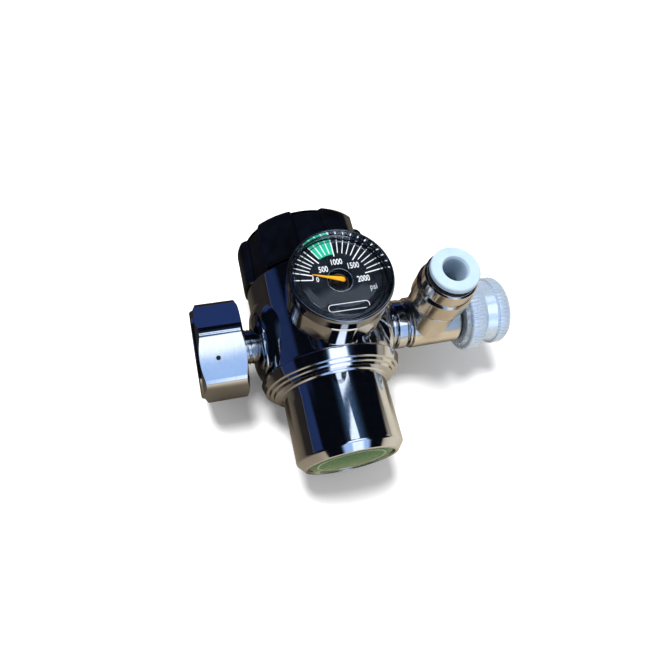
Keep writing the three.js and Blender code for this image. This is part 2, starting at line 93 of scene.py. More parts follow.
def rounded(points, radius=0.15, steps=4):
    """Profile with each inner corner rounded: a point is (r, h) or (r, h, its own radius)."""
    pts = [Vector(p[:2]) for p in points]
    out = [tuple(pts[0])]
    for k in range(1, len(pts) - 1):
        f = points[k][2] if len(points[k]) > 2 else radius
        a, b, c = pts[k - 1], pts[k], pts[k + 1]
        u, v = (a - b), (c - b)
        if f <= 0 or u.length < 1e-6 or v.length < 1e-6:
            out.append(tuple(b))
            continue
        bend = u.angle(v)
        if bend > math.radians(176):
            out.append(tuple(b))
            continue
        cut = min(f / math.tan(bend / 2), 0.48 * u.length, 0.48 * v.length)
        p, q = b + u.normalized() * cut, b + v.normalized() * cut
        for i in range(steps + 1):
            t = i / steps
            out.append(tuple((1 - t) ** 2 * p + 2 * t * (1 - t) * b + t * t * q))
    out.append(tuple(pts[-1]))
    return out


def to_object(name, bm, smooth=32):
    bmesh.ops.remove_doubles(bm, verts=bm.verts, dist=1e-8)
    bmesh.ops.recalc_face_normals(bm, faces=bm.faces)
    me = bpy.data.meshes.new(name)
    bm.to_mesh(me)
    bm.free()
    ob = bpy.data.objects.new(name, me)
    scene.collection.objects.link(ob)
    if smooth:
        for p in me.polygons:
            p.use_smooth = True
        me.set_sharp_from_angle(angle=math.radians(smooth))
    return ob


def sweep(bm, profile, axis, centre, seg, wave=None, loop=False):
    """Turns a profile round an axis; wave(turn, r, h) may change the radius."""
    rows = []
    for r, h in profile:
        if r < 1e-6:
            rows.append([bm.verts.new(centre + at(axis, 0, 0, h) * MM)])
            continue
        row = []
        for k in range(seg):
            t = 2 * math.pi * k / seg
            row.append(bm.verts.new(centre + at(axis, wave(t, r, h) if wave else r, t, h) * MM))
        rows.append(row)
    for a, b in zip(rows, rows[1:] + (rows[:1] if loop else [])):
        for k in range(seg):
            n = (k + 1) % seg
            ring = [a[k % len(a)], a[n % len(a)], b[n % len(b)], b[k % len(b)]]
            face = []
            for v in ring:
                if v not in face:
                    face.append(v)
            if len(face) > 2:
                bm.faces.new(face)


def supported(profile, inset=0.05):
    """Adds a row close to each end of a long step, so that its shading stays flat."""
    out = [tuple(profile[0])]
    for p, q in zip(profile, profile[1:]):
        p, q = Vector(p), Vector(q)
        length = (q - p).length
        if length > 4 * inset and min(p.x, q.x) > 0.5:
            step = (q - p) * (inset / length)
            out += [tuple(p + step), tuple(q - step)]
        out.append(tuple(q))
    return out


def lathe(name, profile, axis, centre, seg=144, wave=None, loop=False, smooth=32):
    bm = bmesh.new()
    if wave is None:
        profile = supported(profile)
    sweep(bm, profile, axis, centre, seg, wave, loop)
    return to_object(name, bm, smooth)


def combine(target, tool, how, smooth=32):
    """Boolean of two closed meshes, left on target."""
    mod = target.modifiers.new("cut", "BOOLEAN")
    mod.operation, mod.object, mod.solver = how, tool, "EXACT"
    bpy.context.view_layer.update()
    me = bpy.data.meshes.new_from_object(target.evaluated_get(bpy.context.evaluated_depsgraph_get()))
    target.modifiers.clear()
    old = target.data
    target.data = me
    me.name = target.name
    bpy.data.meshes.remove(old)
    bpy.data.objects.remove(tool)
    for p in me.polygons:
        p.use_smooth = True
    me.set_sharp_from_angle(angle=math.radians(smooth))
    return target


def knurl(n, depth):
    """Straight rounded teeth: takes up to depth off the radius."""
    def wave(turn, r, h):
        return r - depth * (0.5 + 0.5 * math.cos(turn * n))
    return wave


def screw(pitch, depth, h0, h1):
    """Helical thread between two heights."""
    def wave(turn, r, h):
        f = (h / pitch - turn / (2 * math.pi)) % 1
        fade = max(0.0, min(1.0, (h - h0) / pitch, (h1 - h) / pitch))
        return r - depth * abs(2 * f - 1) * fade
    return wave


def flats(across, turn0, n=6, corner=0.0):
    """Limits the radius to a regular polygon's outline, with rounded corners."""
    step = 2 * math.pi / n
    half = across / 2
    inner = half - corner

    def wave(turn, r, h):
        a = abs(((turn - turn0 + step / 2) % step) - step / 2)
        reach = half / math.cos(a)
        if corner > 0:
            # the corner's circle is centred where the inner polygon has its corner
            cr, ca = inner / math.cos(step / 2), step / 2 - a
            if half * math.tan(a) > inner * math.tan(step / 2):
                reach = cr * math.cos(ca) + math.sqrt(max(0, corner ** 2 - (cr * math.sin(ca)) ** 2))
        return min(r, reach)
    return wave


def piece(ob, body, slot, mat, *nodes):
    ob.data.materials.clear()
    ob.data.materials.append(mat)
    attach(ob, body)
    if nodes:
        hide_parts(*nodes)
    return ob


# ---- materials --------------------------------------------------------------------------------
def shader(name, **sockets):
    mat = bpy.data.materials.new(name)
    mat.use_nodes = True
    nt = mat.node_tree
    bsdf = nt.nodes["Principled BSDF"]
    for key, value in sockets.items():
        bsdf.inputs[key.replace("_", " ")].default_value = value
    return mat, nt, bsdf


def noise(nt, scale, detail=4.0, stretch=(1, 1, 1), rough=0.55):
    coord = nt.nodes.new("ShaderNodeTexCoord")
    mapping = nt.nodes.new("ShaderNodeMapping")
    mapping.inputs["Scale"].default_value = stretch
    tex = nt.nodes.new("ShaderNodeTexNoise")
    tex.inputs["Scale"].default_value = scale
    tex.inputs["Detail"].default_value = detail
    tex.inputs["Roughness"].default_value = rough
    nt.links.new(coord.outputs["Object"], mapping.inputs["Vector"])
    nt.links.new(mapping.outputs["Vector"], tex.inputs["Vector"])
    return tex.outputs["Fac"]


def spread(nt, value, lo, hi, a=0.3, b=0.7):
    node = nt.nodes.new("ShaderNodeMapRange")
    node.inputs["From Min"].default_value = a
    node.inputs["From Max"].default_value = b
    node.inputs["To Min"].default_value = lo
    node.inputs["To Max"].default_value = hi
    nt.links.new(value, node.inputs["Value"])
    return node.outputs["Result"]


def colours(nt, value, *stops):
    ramp = nt.nodes.new("ShaderNodeValToRGB")
    ramp.color_ramp.elements[0].position = stops[0][0]
    ramp.color_ramp.elements[0].color = (*stops[0][1], 1)
    ramp.color_ramp.elements[1].position = stops[-1][0]
    ramp.color_ramp.elements[1].color = (*stops[-1][1], 1)
    for pos, col in stops[1:-1]:
        e = ramp.color_ramp.elements.new(pos)
        e.color = (*col, 1)
    nt.links.new(value, ramp.inputs["Fac"])
    return ramp.outputs["Color"]


def bump(nt, bsdf, height, strength, distance, before=None):
    node = nt.nodes.new("ShaderNodeBump")
    node.inputs["Strength"].default_value = strength
    node.inputs["Distance"].default_value = distance
    nt.links.new(height, node.inputs["Height"])
    if before:
        nt.links.new(before, node.inputs["Normal"])
    nt.links.new(node.outputs["Normal"], bsdf.inputs["Normal"])
    return node.outputs["Normal"]


def metal(name, light, dark, r0, r1, lines=None, line_bump=0.05, fine=0.012):
    """Metal with patchy sheen, faint dimples, and tool lines across one axis."""
    mat, nt, bsdf = shader(name, Metallic=1.0)
    patch = noise(nt, 320, 5)
    nt.links.new(colours(nt, patch, (0.3, dark), (0.7, light)), bsdf.inputs["Base Color"])
    nt.links.new(spread(nt, noise(nt, 900, 6), r0, r1), bsdf.inputs["Roughness"])
    normal = bump(nt, bsdf, noise(nt, 2600, 3), fine, 0.00003)
    if lines:
        stretch = [12, 12, 12]
        stretch["XYZ".index(lines)] = 5200
        bump(nt, bsdf, noise(nt, 1.0, 3, stretch, 0.7), line_bump, 0.00006, normal)
    return mat


def plastic(name, light, dark, r0, r1, grain=0.1, scale=1500, spec=0.5):
    mat, nt, bsdf = shader(name, Specular_IOR_Level=spec)
    nt.links.new(colours(nt, noise(nt, 260, 5), (0.3, dark), (0.7, light)), bsdf.inputs["Base Color"])
    nt.links.new(spread(nt, noise(nt, 700, 5), r0, r1), bsdf.inputs["Roughness"])
    bump(nt, bsdf, noise(nt, scale, 4), grain, 0.00005)
    return mat


CHROME = metal("chrome_plate", (0.80, 0.82, 0.85), (0.70, 0.72, 0.76), 0.03, 0.075, fine=0.01)
CHROME_TURNED = metal("chrome_turned", (0.80, 0.82, 0.86), (0.70, 0.73, 0.78), 0.045, 0.08, fine=0.01)
BRUSHED = metal("brushed_steel", (0.78, 0.82, 0.87), (0.74, 0.78, 0.84), 0.045, 0.07, "X", 0.16, 0.006)
NICKEL = metal("nickel_plate", (0.84, 0.80, 0.73), (0.74, 0.70, 0.62), 0.16, 0.24, "X", 0.02)
NICKEL_Z = metal("nickel_turned", (0.70, 0.64, 0.56), (0.56, 0.50, 0.42), 0.10, 0.18, "Z", 0.03)
BRASS = metal("brass", (0.72, 0.50, 0.20), (0.56, 0.37, 0.13), 0.2, 0.4, "Y", 0.05)
STEEL = metal("plain_steel", (0.56, 0.57, 0.59), (0.42, 0.43, 0.45), 0.2, 0.4, "Y", 0.05)
BRIGHT = metal("bright_steel", (0.92, 0.93, 0.95), (0.8, 0.82, 0.85), 0.08, 0.2)
BRONZE = metal("bronze", (0.50, 0.30, 0.13), (0.30, 0.17, 0.07), 0.25, 0.45)
BLACK = plastic("black_gloss", (0.0022, 0.003, 0.006), (0.001, 0.0012, 0.002), 0.05, 0.11, 0.02, 700, 0.4)
RUBBER = plastic("rubber", (0.02, 0.02, 0.021), (0.008, 0.008, 0.009), 0.6, 0.85, 0.25)
NYLON = plastic("nylon", (0.80, 0.77, 0.68), (0.66, 0.62, 0.52), 0.4, 0.6)
COLLAR = plastic("collar_blue_grey", (0.38, 0.49, 0.61), (0.32, 0.43, 0.55), 0.42, 0.6, 0.12)
DARK = plastic("dark_plastic", (0.022, 0.024, 0.028), (0.01, 0.011, 0.013), 0.3, 0.5)
GOLD = plastic("label_gold", (0.30, 0.36, 0.20), (0.22, 0.28, 0.15), 0.3, 0.5)
DIAL = plastic("dial_black", (0.010, 0.012, 0.017), (0.002, 0.003, 0.004), 0.5, 0.7, 0.35, 5200, 0.2)
PRINT = plastic("print_white", (0.90, 0.93, 0.97), (0.74, 0.80, 0.88), 0.5, 0.7, 0.15)
BAND = plastic("print_green", (0.012, 0.50, 0.30), (0.008, 0.36, 0.22), 0.45, 0.65, 0.3, 3000)
NEEDLE = plastic("pointer_orange", (0.90, 0.47, 0.016), (0.74, 0.36, 0.008), 0.35, 0.55, 0.1)


def satin(name, light, dark, metallic, r0, r1):
    """Half-bright finish of fine knurls, its pale blue colour a painted reflection of the bright sky their
    teeth scatter.
    """
    mat, nt, bsdf = shader(name, Metallic=metallic)
    nt.links.new(colours(nt, noise(nt, 700, 4), (0.3, dark), (0.7, light)), bsdf.inputs["Base Color"])
    nt.links.new(spread(nt, noise(nt, 900, 4), r0, r1), bsdf.inputs["Roughness"])
    bump(nt, bsdf, noise(nt, 2600, 3), 0.04, 0.00003)
    return mat


# pale blue knurl colour: painted reflection of bright sky scattered by the teeth
KNURL_PAINTED_SHEEN = satin("knurled_painted_sheen", (0.68, 0.81, 0.97), (0.60, 0.73, 0.90), 0.62, 0.2, 0.3)
# bezel metal darkened: painted shade standing in for the dark things its sides mirror
RIM_PAINTED_DARK = metal("rim_chrome_painted_dark", (0.34, 0.36, 0.41), (0.25, 0.27, 0.31), 0.04, 0.09, fine=0.01)
FAINT = plastic("print_grey", (0.50, 0.55, 0.62), (0.40, 0.45, 0.52), 0.5, 0.7, 0.15)


def label_material():
    """Glossy green card, paler towards its lower edge with a painted reflection of the table top."""
    mat, nt, bsdf = shader("label_green", Specular_IOR_Level=0.5)
    coord = nt.nodes.new("ShaderNodeTexCoord")
    split = nt.nodes.new("ShaderNodeSeparateXYZ")
    nt.links.new(coord.outputs["Object"], split.inputs["Vector"])
    low, high = CENTRE.z - 9 * MM, CENTRE.z + 9 * MM
    # painted reflection: pale table colour at the low edge, dark green at the top
    nt.links.new(colours(nt, spread(nt, split.outputs["Z"], 0.0, 1.0, low, high), (0.0, (0.26, 0.28, 0.15)),
        (0.45, (0.09, 0.20, 0.075)), (1.0, (0.006, 0.11, 0.03))), bsdf.inputs["Base Color"])
    nt.links.new(spread(nt, noise(nt, 700, 4), 0.14, 0.24), bsdf.inputs["Roughness"])
    return mat


def lens_material():
    mat, nt, bsdf = shader("lens_clear", Metallic=1.0, Base_Color=(0.9, 0.95, 1.0, 1))
    nt.links.new(spread(nt, noise(nt, 500, 4), 0.02, 0.06), bsdf.inputs["Roughness"])
    normal = bump(nt, bsdf, noise(nt, 260, 3), 0.03, 0.00005)
    clear = nt.nodes.new("ShaderNodeBsdfTransparent")
    edge = nt.nodes.new("ShaderNodeFresnel")
    edge.inputs["IOR"].default_value = 1.5
    nt.links.new(normal, edge.inputs["Normal"])
    mix = nt.nodes.new("ShaderNodeMixShader")
    nt.links.new(edge.outputs["Fac"], mix.inputs["Fac"])
    nt.links.new(clear.outputs["BSDF"], mix.inputs[1])
    nt.links.new(bsdf.outputs["BSDF"], mix.inputs[2])
    nt.links.new(mix.outputs["Shader"], nt.nodes["Material Output"].inputs["Surface"])
    return mat


LENS = lens_material()
GREEN_WITH_PAINTED_REFLECTION = label_material()

# ---- main body and bonnet, round the Y axis ----------------------------------------------------
barrel = lathe("body_shell", rounded([(0, BODY_Y0), (BODY_R, BODY_Y0, 0.5), (BODY_R, BODY_Y1, 0.5),
    (0, BODY_Y1)], 0.5), "Y", CENTRE, 180)
DOME = [(13.2, DOME_FOOT), (13.2, 8), (13.15, 11), (12.95, 13.2), (12.5, 15.2), (11.5, 16.9), (10, 18.1),
        (8.3, 18.9), (7, 19.25), (6, DOME_TOP)]


def smooth_curve(points, steps=5):
    """Catmull-Rom curve through profile points."""
    out = []
    for k in range(len(points) - 1):
        p0, p1, p2, p3 = (Vector(points[max(0, min(len(points) - 1, k + d))]) for d in (-1, 0, 1, 2))
        for i in range(steps):
            t = i / steps
            q = 0.5 * (2 * p1 + (p2 - p0) * t + (2 * p0 - 5 * p1 + 4 * p2 - p3) * t * t
                       + (3 * p1 - p0 - 3 * p2 + p3) * t ** 3)
            out.append((max(0.0, q.x), q.y))
    return out + [tuple(points[-1])]


for side in (1, -1):
    dome = lathe("dome", [(0, side * DOME_FOOT), *[(r, side * h) for r, h in smooth_curve(DOME)],
        (0, side * DOME_TOP)], "X", CENTRE, 120)
    slab = lathe("slab", [(0, BODY_Y0), (40, BODY_Y0), (40, BODY_Y1), (0, BODY_Y1)], "Y", CENTRE, 12)
    combine(dome, slab, "INTERSECT")
    combine(barrel, dome, "UNION")
spot = lathe("spot", [(0, SPOT_Z), (SPOT_R, SPOT_Z), (SPOT_R, 30), (0, 30)], "Z", GAUGE, 96)
combine(barrel, spot, "DIFFERENCE", 24)
BORES = (("Y", CENTRE, CHAMBER_R, 5, 20), ("Y", CENTRE, SUPPLY_R, -20, 2), ("X", CENTRE, PORT_R, -22, -9),
         ("X", CENTRE, PORT_R, 10, 22), ("Z", GAUGE, PORT_R, 9.5, 25))
for axis, where, r, h0, h1 in BORES:
    hole = lathe("hole", [(0, h0), (r, h0), (r, h1), (0, h1)], axis, where, 96)
    combine(barrel, hole, "DIFFERENCE", 24)
piece(barrel, "regulator", "chrome", CHROME_TURNED, "regulator_body")

bonnet = lathe("bonnet_shell", rounded([(0, -31.4), (10.6, -31.4), (10.7, -11.25), (18.8, -11.25, 0.1),
    (18.98, -11.45, 0.1), (18.2, -14.0, 0.06), (17.45, -14.15, 0.03), (17.2, -14.85, 0.06),
    (16.45, -15.0, 0.03), (16.2, -15.7, 0.06), (14.5, -15.85, 0.1), (BONNET_R, -16.2, 0.15),
    (BONNET_R, -33.7, 1.1), (12.35, -35.7, 0.35), (12.0, -BONNET_END, 0.1), (11.4, -BONNET_END, 0.1),
    (11.3, -34.8), (0, -34.8)]), "Y", CENTRE, 192)
piece(bonnet, "regulator", "chrome", CHROME_TURNED, "bonnet")

label = lathe("label_disc", rounded([(0, -34.85), (LABEL_R, -34.85), (LABEL_R, -35.3, 0.15),
    (10.4, -35.42, 0.3), (0, -35.42)]), "Y", CENTRE, 120)
piece(label, "regulator", "label_green", GREEN_WITH_PAINTED_REFLECTION, "end_label")
circle = lathe("label_circle", rounded([(8.6, -35.4), (8.6, -35.55, 0.08), (8.9, -35.6, 0.1),
    (9.2, -35.55, 0.08), (9.2, -35.4)]), "Y", CENTRE, 120)
piece(circle, "regulator", "label_gold", GOLD, "end_label_ring")

housing = lathe("housing_cup", rounded([(11.4, 9.6), (12.9, 9.6), (12.9, 16.05), (15, 16.05), (15, 17.2),
    (12.6, 17.2), (12.6, 27.4), (2.6, 27.4), (2.6, 25.2), (11.4, 25.2), (11.4, 9.6)], 0.12), "Y", CENTRE,
    96)
piece(housing, "regulator", "steel", STEEL, "spring_housing")


# ---- hand knob ---------------------------------------------------------------------------------
def ease(x, a, b):
    """Smooth step from 0 at a to 1 at b."""
    t = max(0.0, min(1.0, (x - a) / (b - a)))
    return t * t * (3 - 2 * t)


def knob_wave(turn, r, h):
    """A radius past LOBE_FROM is measured from the fluted outline's crest."""
    if r < LOBE_FROM:
        return r
    off = abs(((math.degrees(turn) + LOBE_STEP / 2) % LOBE_STEP) - LOBE_STEP / 2)
    return r - FLUTE_DEPTH * ease(off, 15.2, 18.6)


knob = lathe("knob_grip", rounded([(1.75, 27.8), (15.6, 27.8, 0.6), (15.6, 16.7, 0.2), (15.8, 16.5, 0.1),
    (18.2, 16.5, 0.35), (LOBE_R, 17.1, 0.5), (LOBE_R, 29.4, 1.2), (18.1, 30.5, 0.8), (17.2, 31, 0.6),
    (16.4, 31, 0.3), (15.9, 30.75, 0.3), (6, 30.75, 0.4), (5.4, 31, 0.3), (3.4, 31, 0.2), (3.2, 30.1, 0.1),
    (1.75, 30.1, 0.1), (1.75, 27.8)], 0.15, 5), "Y", CENTRE, 360, knob_wave, smooth=28)
piece(knob, "pressure_knob", "black_plastic", BLACK, "adjusting_knob")

# ---- inlet side, along X -----------------------------------------------------------------------
thread_rows = [(THREAD_R, THREAD_X0 + k * 0.125) for k in range(57)]
thread = screw(THREAD_PITCH, THREAD_DEPTH, THREAD_X0, THREAD_X1)


def thread_wave(turn, r, h):
    """Thread on the rows that stand at its own radius."""
    return thread(turn, r, h) if r == THREAD_R else r


stem = lathe("inlet_thread", [(1.9, -9.8), (4.6, -9.8), (THREAD_R, -18.7), *thread_rows[::-1],
    (8.2, THREAD_X0), (8.2, -28.2), (3.2, -28.2), (3.2, -26.4), (1.9, -26.4), (1.9, -9.8)], "X", CENTRE, 96,
    thread_wave, smooth=50)
piece(stem, "regulator", "chrome", CHROME, "inlet_stem")

nut = lathe("hex_nut", [(0, NUT_X0), (20, NUT_X0), (20, NUT_X1), (0, NUT_X1)], "X", CENTRE, 432,
            flats(NUT_ACROSS, 0, 6, NUT_CORNER), smooth=24)
chamfered = lathe("chamfered", rounded([(0, NUT_X0), (11.45, NUT_X0, 0.3), (11.75, -34.6, 0.2),
    (11.9, -34.05, 0.1), (13.9, -32.8, 0.5), (14.6, -31.5, 0.2), (14.6, -24, 0.2), (13.9, -23.2, 0.5),
    (12.1, NUT_X1, 0.3), (0, NUT_X1)], 0.1, 5), "X", CENTRE, 360, smooth=24)
combine(nut, chamfered, "INTERSECT", 24)
bore = lathe("nut_bore", [(0, -36), (9.9, -36), (9.9, NUT_X0), (9.6, -34.6), (9.6, -25.5), (5.2, -25.5),
    (5.2, -20), (0, -20)], "X", CENTRE, 144)
combine(nut, bore, "DIFFERENCE", 24)
vent = lathe("vent", [(0, 8), (0.42, 8), (0.42, 11.8), (0.6, 12.12), (0.6, 14), (0, 14)], "Z", Vector(), 40)
ring_cut = lathe("ring_cut", [(3.34, 12.06), (3.44, 12.06), (3.44, 12.3), (3.34, 12.3)], "Z", Vector(), 96,
    loop=True)
for cut in (vent, ring_cut):
    cut.data.transform(Matrix.Translation(CENTRE + Vector((VENT_X, 0, 0)) * MM)
                       @ Matrix.Rotation(math.radians(VENT_TURN), 4, "X"))
    combine(nut, cut, "DIFFERENCE", 24)
piece(nut, "inlet_nut", "brushed_nut", BRUSHED, "inlet_nut")

# ---- outlet side, along X ----------------------------------------------------------------------
adapter = lathe("outlet_neck", rounded([(1.6, 18.6), (6.2, 18.6), (6.2, 19.3), (6.4, 19.4), (6.4, 20.1),
    (5.5, 20.2), (5.5, 20.5), (6.6, 20.6, 0.2), (7, 21, 0.2), (7, 23.3, 0.2), (6.6, 23.7, 0.2), (5.6, 23.8),
    (5.6, 24.2), (6.75, 24.3, 0.1), (6.9, 24.5, 0.1), (6.9, 24.9, 0.1), (6.7, 25.1, 0.05), (4.85, 25.1),
    (4.85, 29.6), (1.6, 29.6), (1.6, 18.6)], 0.1), "X", CENTRE, 128)
piece(adapter, "regulator", "chrome", CHROME, "outlet_adapter")

tee = lathe("tee_barrel", rounded([(0, TEE_X0), (TEE_R, TEE_X0, 0.35), (TEE_R, TEE_X1, 0.5), (0, TEE_X1)],
    0.35), "X", CENTRE, 144)
riser = lathe("riser", [(0, RISER_Z0), (RISER_R, RISER_Z0), (RISER_R, RISER_Z1), (0, RISER_Z1)], "Z",
    OUTLET, 144)
trim = lathe("trim", [(0, TEE_X0 + 0.1), (20, TEE_X0 + 0.1), (20, TEE_X1 - 0.1), (0, TEE_X1 - 0.1)], "X",
    CENTRE, 24)
combine(riser, trim, "INTERSECT")
combine(tee, riser, "UNION")
piece(tee, "regulator", "nickel", NICKEL, "valve_body")

gland = lathe("gland_stem", rounded([(2.05, 38), (4.85, 38), (4.85, 39.6), (5.8, 40.1, 0.1),
    (5.8, 46.4, 0.2), (2.05, 46.4)]), "X", CENTRE, 96)
piece(gland, "regulator", "brass", BRASS, "valve_gland")


def toothed(limit, n, depth):
    """Knurl on the rows beyond a radius."""
    teeth = knurl(n, depth)
    return lambda t, r, h: teeth(t, r, h) if r > limit else r


ring = lathe("lock_nut", rounded([(5.95, 40.6), (8.35, 40.6, 0.15), (9.15, 41.35, 0.3), (9.75, 41.35, 0.1),
    (10.2, 41.4, 0.15), (LOCK_R, 41.7, 0.2), (LOCK_R, 45.35, 0.25), (10.15, 45.7, 0.2), (9.2, 45.7, 0.1),
    (5.95, 45.7), (5.95, 40.6)], 0.1), "X", CENTRE, LOCK_TEETH * 8, toothed(9.6, LOCK_TEETH, KNURL_DEPTH),
    smooth=40)
piece(ring, "lock_ring", "chrome", KNURL_PAINTED_SHEEN, "lock_ring")

turn_knob = lathe("valve_grip", rounded([(2.0, 48.2), (3.4, 48.2), (3.4, 46.7), (8.2, 46.7, 0.2),
    (8.6, 47.1, 0.4), (9.0, 50.1, 0.3), (9.35, 50.2, 0.1), (GRIP_R, 50.4, 0.2), (GRIP_R, 52.9, 0.8),
    (9.2, 53.8, 0.6), (8.3, 54.1, 0.4), (2.2, 54.1, 0.2), (1.25, 53.95, 0.1), (1.25, 53.4), (2.0, 53.2),
    (2.0, 48.2)], 0.1), "X", CENTRE, GRIP_TEETH * 8, toothed(9.05, GRIP_TEETH, KNURL_DEPTH), smooth=40)
piece(turn_knob, "valve_knob", "chrome", KNURL_PAINTED_SHEEN, "valve_knob")

# ---- push-in outlet, round the Z axis ----------------------------------------------------------
washer = lathe("fitting_washer", rounded([(4.1, 13.7), (7.0, 13.7, 0.15), (7.25, 13.95, 0.2),
    (7.25, 14.25, 0.2), (7.0, 14.5, 0.15), (4.1, 14.5), (4.1, 13.7)], 0.1), "Z", OUTLET, 120)
piece(washer, "regulator", "chrome", CHROME, "fitting_seal")
fitting = lathe("fitting_shell", rounded([(2.2, 12.4), (3.9, 12.4), (3.9, 14.6), (7.05, 14.6, 0.2),
    (7.7, 15.25, 0.4), (7.7, 21.2, 0.5), (7.2, 21.95, 0.3), (7.0, 22.1, 0.2), (7.0, 25.9, 0.3),
    (6.6, 26.3, 0.2), (4.5, 26.3, 0.1), (4.5, 18.4), (4.9, 18.2), (4.9, 16.2), (3.15, 16.2), (3.15, 13),
    (2.2, 12.4)], 0.08), "Z", OUTLET, 144)
piece(fitting, "regulator", "nickel", NICKEL_Z, "fitting_body")
collar = lathe("collar_ring", rounded([(3.1, 20.6), (4.3, 20.6, 0.1), (4.3, 27.55, 0.2), (6.2, 27.55, 0.2),
    (6.42, 27.8, 0.2), (6.42, 28.95, 0.35), (6.1, 29.3, 0.3), (3.6, 29.3, 0.35), (3.2, 28.5, 0.4),
    (3.1, 27.6), (3.1, 20.6)], 0.1), "Z", OUTLET, 128)
piece(collar, "release_collar", "collar_plastic", COLLAR, "release_collar")
teeth_bm = bmesh.new()
for k in range(COLLET_TEETH):
    swing = Matrix.Rotation(2 * math.pi * (k + 0.5) / COLLET_TEETH, 3, "Z")
    ends = []
    for r, z, w, t in ((3.25, 21.5, 0.55, 0.16), (2.7, 22.3, 0.38, 0.12)):
        ends.append([teeth_bm.verts.new(OUTLET + (swing @ Vector((r, y, z + dz))) * MM)
                     for y, dz in ((-w, 0), (w, 0), (w, t), (-w, t))])
    for j in range(4):
        n = (j + 1) % 4
        teeth_bm.faces.new((ends[0][j], ends[0][n], ends[1][n], ends[1][j]))
    teeth_bm.faces.new(ends[0])
    teeth_bm.faces.new(ends[1][::-1])
piece(to_object("collet_teeth", teeth_bm, 20), "release_collar", "steel", BRIGHT)
guide = lathe("collar_gap", rounded([(4.5, 26.32), (6.3, 26.32), (6.3, 26.6, 0.08), (4.5, 26.6),
    (4.5, 26.32)], 0.05), "Z", OUTLET, 96)
piece(guide, "regulator", "dark_plastic", DARK, "collar_guide")

# ---- pressure gauge, round the Z axis ----------------------------------------------------------
case_flats = flats(CASE_FLATS, math.radians(CASE_TURN), 6)


def case_wave(turn, r, h):
    """Wrench flats on the rows of the case's wall."""
    return case_flats(turn, r, h) if r > 11.2 else r


case = lathe("gauge_cup", [(0.9, 17.9), (5.8, 17.9), (6, 18.1), (6, 21.9), (6.2, 22.25), (11.3, 22.48),
    (11.7, 22.6), (12.05, 22.8), (12.3, 23.1), (CASE_R, 23.5), *[(CASE_R, 24 + k) for k in range(7)],
    (CASE_R, 30.9), (12.3, 31.2), (12.1, 31.3), (11, 31.3), (11, 24.8), (0.9, 24.8)], "Z", GAUGE, 360,
    case_wave, loop=True, smooth=14)
piece(case, "regulator", "chrome", CHROME, "gauge_case")
bezel = lathe("gauge_rim", rounded([(11.25, 31.4), (12.2, 31.4, 0.15), (BEZEL_R, 31.7, 0.2),
    (BEZEL_R, 34.4, 0.4), (12.2, 35.0, 0.25), (12.0, 35.2, 0.12), (11.75, 35.2, 0.1), (11.62, 34.95, 0.1),
    (11.62, 33.3, 0.1), (11.25, 33.2), (11.25, 31.4)], 0.1), "Z", GAUGE, 180)
piece(bezel, "regulator", "chrome", RIM_PAINTED_DARK, "gauge_bezel")
lens = lathe("lens_dome", rounded([(0, 33.4), (9.3, 33.4), (9.6, 33.55), (9.9, 33.4), (10.5, 33.4),
    (10.8, 33.6), (LENS_R, 33.6), (LENS_R, 34.9, 0.1), (11.35, 35.0, 0.1), (11.2, 34.88, 0.1),
    (11.0, 35.12, 0.15), (10.8, 35.0, 0.1), (10.55, 35.2, 0.2), (10.2, 35.3, 0.5), (8.6, 35.45, 1.5),
    (5, 35.58, 3), (0, 35.64)], 0.12), "Z", GAUGE, 180)
piece(lens, "regulator", "lens_clear", LENS, "gauge_lens")

face = lathe("dial_face", rounded([
    (DIAL_HOLE, 31.9), (DIAL_R, 31.9), (DIAL_R, DIAL_Z, 0.1), (2.98, DIAL_Z, 0.1), (DIAL_HOLE, 32.2, 0.05),
    (DIAL_HOLE, 31.9)], 0.05), "Z", GAUGE, 180)
piece(face, "regulator", "dial_black", DIAL, "gauge_dial")

hole_rim = lathe("hole_rim", rounded([(DIAL_HOLE, 32.2), (3.12, 32.2), (3.12, 32.36, 0.04),
    (DIAL_HOLE, 32.36, 0.04), (DIAL_HOLE, 32.2)], 0.03), "Z", GAUGE, 96)
piece(hole_rim, "regulator", "steel", BRIGHT)

PRINT_H = 0.025
MAJORS = [(0, 162.5), (500, 128.5), (1000, 89.5), (1500, 49.0), (2000, 8.5)]


def mark_angle(psi):
    """Angle on the dial of a pressure, between the numbered marks."""
    for (a, u), (b, v) in zip(MAJORS, MAJORS[1:]):
        if psi <= b:
            return math.radians(u + (v - u) * (psi - a) / (b - a))
    return math.radians(MAJORS[-1][1])


def flat_strip(bm, pts, z0, z1):
    """Closed low prism over an outline, in dial millimetres."""
    lo = [bm.verts.new(GAUGE + Vector((x, y, z0)) * MM) for x, y in pts]
    hi = [bm.verts.new(GAUGE + Vector((x, y, z1)) * MM) for x, y in pts]
    bm.faces.new(lo[::-1])
    bm.faces.new(hi)
    for k in range(len(pts)):
        n = (k + 1) % len(pts)
        bm.faces.new((lo[k], lo[n], hi[n], hi[k]))


def bar(bm, a, b, width):
    """Printed line between two points."""
    a, b = Vector(a), Vector(b)
    side = (b - a).orthogonal().normalized() * width / 2
    flat_strip(bm, [a - side, b - side, b + side, a + side], DIAL_Z, DIAL_Z + PRINT_H)


def polar(r, a):
    return Vector((r * math.cos(a), r * math.sin(a)))


marks = bmesh.new()
for psi in range(0, 2001, 100):
    major = psi % 500 == 0
    a = mark_angle(psi)
    bar(marks, polar(6.35 if major else 7.25, a), polar(11.0, a), 0.25 if major else 0.2)
# bracket at the zero mark
z0 = mark_angle(0)
out_dir = polar(1, z0)
across_dir = Vector((-out_dir.y, out_dir.x))
corner_in = out_dir * 6.2 + across_dir * 1.15
bar(marks, out_dir * 6.35, corner_in, 0.22)
bar(marks, corner_in, corner_in + Vector((-4.3, 0.55)), 0.22)
